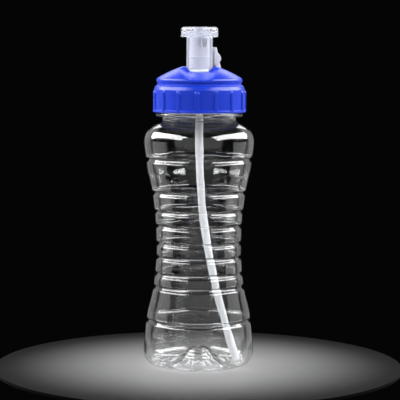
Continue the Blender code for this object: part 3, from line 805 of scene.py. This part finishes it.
class SQUEEZE_OT_make_post(Operator):
    """Make the fixed milky spout post with its plug and flow windows"""

    bl_idname = "squeeze_bottle.make_post"
    bl_label = "Make Spout Post"

    def execute(self, context):
        settings = context.scene.squeeze_bottle_spout
        outer, bottom, top = settings.post_radius / MM, POST_BOX[0].z / MM, POST_BOX[1].z / MM
        ceiling = POST_SHOULDER - 1.4
        outline = rounded([
            (0.0, ceiling, 0.0), (POST_BORE, ceiling, 0.5), (POST_BORE, 198.4, 0.4),
            (4.0, 196.6, 0.4), (4.0, bottom, 0.2), (5.2, bottom, 0.3), (5.2, 195.6, 0.3),
            (10.5, 195.6, 0.3), (10.5, 197.2, 0.3), (outer, 197.2, 0.4), (outer, 211.2, 0.2),
            (outer + 0.45, 211.7, 0.3), (outer, 212.5, 0.2), (outer, POST_SHOULDER, 0.9),
            (PLUG_RADIUS, POST_SHOULDER, 0.5), (PLUG_RADIUS, top, 0.7), (2.4, top, 0.3),
            (2.1, top - 0.5, 0.3), (0.0, top - 0.5, 0.0),
        ], closed=False)
        material = made_once(milky_polyethylene, settings.milky)
        bm = spun(with_rows(outline, 1.2, closed=False), 96, closed=False)
        post = finished("milky_post", bm, material)
        half = settings.window_width / MM / 2
        for k in range(settings.windows):
            turn = Matrix.Rotation(math.radians(WINDOW_TURN + k * 360.0 / settings.windows), 4, "Z")
            carve(post, block(f"window_{k + 1}", (WINDOW_IN, -half, WINDOW_BOTTOM),
                              (WINDOW_OUT, half, WINDOW_TOP), turn, WINDOW_ROUNDING))
        shade(post, material)
        fit(post, "cap", "milky_polyethylene", "spout_post")
        return {"FINISHED"}


class SQUEEZE_OT_make_nozzle(Operator):
    """Make the clear pull nozzle with its hollow mouth flange and foot ring"""

    bl_idname = "squeeze_bottle.make_nozzle"
    bl_label = "Make Pull Nozzle"

    def execute(self, context):
        settings = context.scene.squeeze_bottle_spout
        barrel, bore, mouth = (size / MM for size in
                               (settings.nozzle_radius, settings.nozzle_bore, settings.mouth_radius))
        bottom, top = NOZZLE_BOX[0].z / MM, NOZZLE_BOX[1].z / MM
        outline = rounded([
            (FOOT_BORE, bottom, 0.15), (FOOT_OUTER, bottom, 0.3), (FOOT_OUTER, FOOT_TOP, 0.5),
            (barrel, FOOT_TOP + 0.3, 0.4), (barrel, 229.0, 0.5), (mouth - 1.2, 229.0, 0.6),
            (mouth - 1.2, 225.3, 0.25), (mouth, 225.3, 0.3), (mouth - 0.2, top, 1.7), (5.6, top, 0.5),
            (DRINK_HOLE, 231.2, 0.4), (DRINK_HOLE, CEILING, 0.3), (bore, CEILING, 0.7),
            (bore, 204.3, 0.3), (FOOT_BORE, 204.3, 0.2), (FOOT_BORE, 202.9, 0.15), (8.75, 202.9, 0.2),
            (8.75, 201.4, 0.2), (FOOT_BORE, 201.4, 0.15),
        ])
        nozzle = finished("clear_nozzle", spun(with_rows(outline, 1.5), 96),
                          clear_polypropylene(tuple(settings.clear)))
        fit(nozzle, "nozzle", "clear_polypropylene", "pull_nozzle")
        return {"FINISHED"}


# Vent lever ----------------------------


class SQUEEZE_OT_make_lever(Operator):
    """Make the milky vent lever with its thumb button, and the nylon pin that it turns on"""

    bl_idname = "squeeze_bottle.make_lever"
    bl_label = "Make Vent Lever"

    def execute(self, context):
        settings = context.scene.squeeze_bottle_lever
        half, edge = settings.thickness / MM / 2, settings.edge / MM
        eye = [(PIN_U + EYE_RADIUS * math.cos(a), PIN_Z + EYE_RADIUS * math.sin(a), 0.0)
               for a in (math.radians(d) for d in range(-70, 41, 10))]
        outline = rounded([
            (10.2, 218.3, 0.7), (10.2, 206.6, 0.6), (12.0, 205.2, 0.5), (12.0, 201.0, 0.4),
            (PIN_U - 0.4, 200.75, 0.2), *eye, (15.5, 204.6, 0.6), (14.15, 208.4, 0.5),
            (15.25, 209.3, 0.8), (15.6, 210.9, 1.0), (14.65, 213.2, 1.0), (12.75, 214.6, 0.9),
            (12.05, 217.2, 1.2), (11.55, 218.5, 0.5),
        ])
        bm = bmesh.new()
        face = bm.faces.new([bm.verts.new((x, y, 0.0)) for x, y in outline])
        moved = bmesh.ops.extrude_face_region(bm, geom=[face])["geom"]
        corners = [item for item in moved if isinstance(item, bmesh.types.BMVert)]
        bmesh.ops.translate(bm, verts=corners, vec=(0.0, 0.0, 2 * half))
        bmesh.ops.recalc_face_normals(bm, faces=bm.faces)
        rims = [e for e in bm.edges if len(e.link_faces) == 2 and e.calc_face_angle() > 1.2]
        bevelled(bm, rims, edge, 4)
        place = LEVER_FRAME @ Matrix.Translation((0.0, half, 0.0)) @ Matrix.Rotation(math.pi / 2, 4, "X")
        bmesh.ops.transform(bm, matrix=place, verts=bm.verts)
        milky = made_once(milky_polyethylene, context.scene.squeeze_bottle_spout.milky)
        lever = finished("thumb_lever", bm, milky)
        carve(lever, rod("lever_bore", PIN_BORE, -LEVER_BORE_HALF, LEVER_BORE_HALF, PIN_FRAME))
        shade(lever, milky, crease=50.0)
        fit(lever, "lever", "milky_polyethylene", "vent_lever")
        pin = rod("hinge_pin", settings.pin_radius / MM, -PIN_HALF, PIN_HALF, PIN_FRAME,
                  pin_nylon(tuple(settings.nylon)), edge=PIN_EDGE)
        fit(pin, "cap", "pin_nylon", "lever_pin")
        return {"FINISHED"}


# Straw and seals -----------------------


class SQUEEZE_OT_make_straw(Operator):
    """Make the straw, which bows from the cap down to the heel of the bottle"""

    bl_idname = "squeeze_bottle.make_straw"
    bl_label = "Make Straw"

    def execute(self, context):
        settings = context.scene.squeeze_bottle_straw
        across = sorted((z, x) for x, _, z in STRAW_ROUTE)
        forward = sorted((z, y) for _, y, z in STRAW_ROUTE)
        low, high = across[0][0], across[-1][0]
        curve = bpy.data.curves.new("straw_route", "CURVE")
        curve.dimensions = "3D"
        curve.bevel_depth = settings.radius
        curve.bevel_resolution = STRAW_SIDES // 2 - 2
        spline = curve.splines.new("POLY")
        spline.points.add(STRAW_POINTS - 1)
        for i, point in enumerate(spline.points):
            z = high + (low - high) * i / (STRAW_POINTS - 1)
            point.co = (smooth_curve(across, z) * MM, smooth_curve(forward, z) * MM, z * MM, 1.0)
        route = linked("straw_route", curve)
        graph = bpy.context.evaluated_depsgraph_get()
        bm = bmesh.new()
        bm.from_mesh(route.evaluated_get(graph).to_mesh())
        bpy.data.objects.remove(route)
        bmesh.ops.remove_doubles(bm, verts=bm.verts, dist=1e-7)
        bmesh.ops.recalc_face_normals(bm, faces=bm.faces)
        bmesh.ops.scale(bm, verts=bm.verts, vec=(1 / MM, 1 / MM, 1 / MM))
        straw = finished("milky_straw", bm, straw_polyethylene(tuple(settings.white)), crease=60.0)
        wall = straw.modifiers.new("wall", "SOLIDIFY")
        wall.thickness = settings.wall
        wall.offset = -1.0
        fit(straw, "cap", "straw_polyethylene", "straw")
        return {"FINISHED"}


class SQUEEZE_OT_make_seals(Operator):
    """Make the seals, the straw's sleeve, the post's retainer and the vent valve"""

    bl_idname = "squeeze_bottle.make_seals"
    bl_label = "Make Seals"

    def execute(self, context):
        silicone = made_once(soft_silicone, context.scene.squeeze_bottle_seals.silicone)
        milky = made_once(milky_polyethylene, context.scene.squeeze_bottle_spout.milky)
        for name, node, body, inner, edge in SEAL_RINGS:
            low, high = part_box(node)
            outer, bottom, top = high.x / MM, low.z / MM, high.z / MM
            outline = rounded([(inner, bottom, edge), (outer, bottom, edge), (outer, top, edge),
                               (inner, top, edge)])
            material, slot = silicone, "soft_silicone"
            if node == "post_retainer":
                material, slot = milky, "milky_polyethylene"
            ring = finished(name, spun(with_rows(outline, 1.0), 96), material)
            fit(ring, body, slot, node)
        self.make_valve(silicone)
        return {"FINISHED"}

    def make_valve(self, silicone):
        """The mushroom valve in the vent bore, just clear of the lever's heel."""
        outline = rounded([
            (0.0, 196.4, 0.0), (0.7, 196.4, 0.2), (1.6, 197.1, 0.2), (1.6, 197.8, 0.15), (0.62, 197.8, 0.1),
            (0.62, 200.15, 0.1), (1.5, 200.15, 0.1), (1.35, 200.43, 0.1), (0.0, 200.45, 0.0),
        ], closed=False)
        bm = spun(with_rows(outline, 0.5, closed=False), 40, closed=False)
        bmesh.ops.translate(bm, verts=bm.verts, vec=LEVER_FRAME @ Vector((VENT_U, 0.0, 0.0)))
        valve = finished("mushroom_valve", bm, silicone)
        fit(valve, "cap", "soft_silicone", "vent_valve")


# Stage ---------------------------------


def on_side(lamp, side):
    """A lamp's placing, on the right for side 1 or mirrored to the left for side -1."""
    place, aim, size = lamp
    return (side * place[0], *place[1:]), (side * aim[0], *aim[1:]), size


def soft_box(name, place, aim, size, radiance, roll=0.0):
    """A rectangular lamp at a place, turned to a point; its width lies level, less the roll."""
    place = Vector(place)
    lamp = bpy.data.lights.new(name, "AREA")
    lamp.shape = "RECTANGLE"
    lamp.size, lamp.size_y = size
    lamp.energy = radiance * math.pi * size[0] * size[1]
    obj = linked(name, lamp)
    obj.location = place
    turn = (Vector(aim) - place).to_track_quat("-Z", "Y").to_matrix() @ Matrix.Rotation(roll, 3, "Z")
    obj.rotation_euler = turn.to_euler()
    obj.visible_camera = False


class SQUEEZE_OT_make_stage(Operator):
    """Make the grey floor with its painted pool of light, the soft lamps, the dark surround and the camera
    """

    bl_idname = "squeeze_bottle.make_stage"
    bl_label = "Make Stage"

    def execute(self, context):
        settings = context.scene.squeeze_bottle_stage
        self.make_floor(settings)
        for side, name in ((-1.0, "left"), (1.0, "right")):
            soft_box(f"soft_box_{name}", *on_side(SOFT_BOX, side), settings.key_light,
                     roll=-side * math.radians(SOFT_BOX_ROLL))
            soft_box(f"side_card_{name}", *on_side(SIDE_CARD, side), settings.side_light)
            soft_box(f"rear_card_{name}", *on_side(REAR_CARD, side), settings.rear_light)
        soft_box("rear_top_card", *REAR_TOP_CARD, settings.top_light)
        soft_box("frontal_fill", *FRONTAL_FILL, settings.fill_light)
        world = bpy.data.worlds.new("dark_surround")
        world.use_nodes = True
        world.node_tree.nodes["Background"].inputs["Color"].default_value = SURROUND
        context.scene.world = world
        context.scene.view_settings.view_transform = "Standard"
        self.make_camera(settings)
        return {"FINISHED"}

    def make_floor(self, settings):
        """A grey floor with a painted pool of light: its colour fades to black at its edge, where its sheen
        still shows.
        """
        reach = settings.floor_radius / MM
        outline = rounded([(0.0, -0.1, 0.0), (reach, -0.1, 0.0), (reach, -2.0, 0.0), (0.0, -2.0, 0.0)],
                          closed=False)
        material, shader = plastic("pale_floor", tuple(settings.floor_colour), 0.6)
        shader.inputs["Specular IOR Level"].default_value = 0.1
        nodes, links = tree(material)
        place = nodes.new("ShaderNodeTexCoord")
        mapping = nodes.new("ShaderNodeMapping")
        mapping.inputs["Scale"].default_value = (1.0 / settings.floor_radius,) * 3
        # Painted pool of light: a spherical gradient darkens the floor's colour to black towards its edge
        painted_pool = nodes.new("ShaderNodeTexGradient")
        painted_pool.gradient_type = "SPHERICAL"
        links.new(place.outputs["Object"], mapping.inputs["Vector"])
        links.new(mapping.outputs["Vector"], painted_pool.inputs["Vector"])
        ramp = nodes.new("ShaderNodeValToRGB")
        ramp.color_ramp.interpolation = "EASE"
        ramp.color_ramp.elements[0].color = (0.0, 0.0, 0.0, 1.0)
        ramp.color_ramp.elements[1].position = FLOOR_PAINTED_POOL
        ramp.color_ramp.elements[1].color = (*settings.floor_colour, 1.0)
        links.new(painted_pool.outputs["Color"], ramp.inputs["Fac"])
        links.new(ramp.outputs["Color"], shader.inputs["Base Color"])
        finished("pale_floor", spun(outline, 128, closed=False), material)

    def make_camera(self, settings):
        pitch, roll = math.radians(CAMERA_PITCH), math.radians(CAMERA_ROLL)
        camera = bpy.data.cameras.new("camera")
        camera.lens = settings.lens
        camera.sensor_width = 36.0
        obj = linked("camera", camera)
        back = Vector((0.0, -math.cos(pitch), math.sin(pitch))) * settings.distance
        turn = Matrix.Rotation(math.pi / 2 - pitch, 4, "X") @ Matrix.Rotation(roll, 4, "Z")
        obj.matrix_world = Matrix.Translation(Vector((CAMERA_ASIDE, 0.0, AIM_HEIGHT)) + back) @ turn
        bpy.context.scene.camera = obj


# Add-on --------------------------------

SETTINGS = {
    "squeeze_bottle_body": BottleSettings,
    "squeeze_bottle_cap": CapSettings,
    "squeeze_bottle_spout": SpoutSettings,
    "squeeze_bottle_lever": LeverSettings,
    "squeeze_bottle_straw": StrawSettings,
    "squeeze_bottle_seals": SealSettings,
    "squeeze_bottle_stage": StageSettings,
}
OPERATORS = [SQUEEZE_OT_make_stage, SQUEEZE_OT_make_bottle, SQUEEZE_OT_make_cap, SQUEEZE_OT_make_post,
             SQUEEZE_OT_make_nozzle, SQUEEZE_OT_make_lever, SQUEEZE_OT_make_straw, SQUEEZE_OT_make_seals]


class SQUEEZE_PT_panel(Panel):
    """Lists the sizes, the colours and the buttons that make each piece"""

    bl_idname = "SQUEEZE_PT_panel"
    bl_label = "Squeeze Bottle"
    bl_space_type = "VIEW_3D"
    bl_region_type = "UI"
    bl_category = "Squeeze Bottle"

    def draw(self, context):
        for name, group in SETTINGS.items():
            box = self.layout.box()
            for field in group.__annotations__:
                box.prop(getattr(context.scene, name), field)
        for operator in OPERATORS:
            self.layout.operator(operator.bl_idname)


def register():
    for group in (*SETTINGS.values(), *OPERATORS, SQUEEZE_PT_panel):
        bpy.utils.register_class(group)
    for name, group in SETTINGS.items():
        setattr(bpy.types.Scene, name, PointerProperty(type=group))


def unregister():
    for name in SETTINGS:
        delattr(bpy.types.Scene, name)
    for group in reversed((*SETTINGS.values(), *OPERATORS, SQUEEZE_PT_panel)):
        bpy.utils.unregister_class(group)


def main():
    register()
    bpy.ops.squeeze_bottle.make_stage()
    bpy.ops.squeeze_bottle.make_bottle()
    bpy.ops.squeeze_bottle.make_cap()
    bpy.ops.squeeze_bottle.make_post()
    bpy.ops.squeeze_bottle.make_nozzle()
    bpy.ops.squeeze_bottle.make_lever()
    bpy.ops.squeeze_bottle.make_straw()
    bpy.ops.squeeze_bottle.make_seals()


if __name__ == "__main__":
    main()
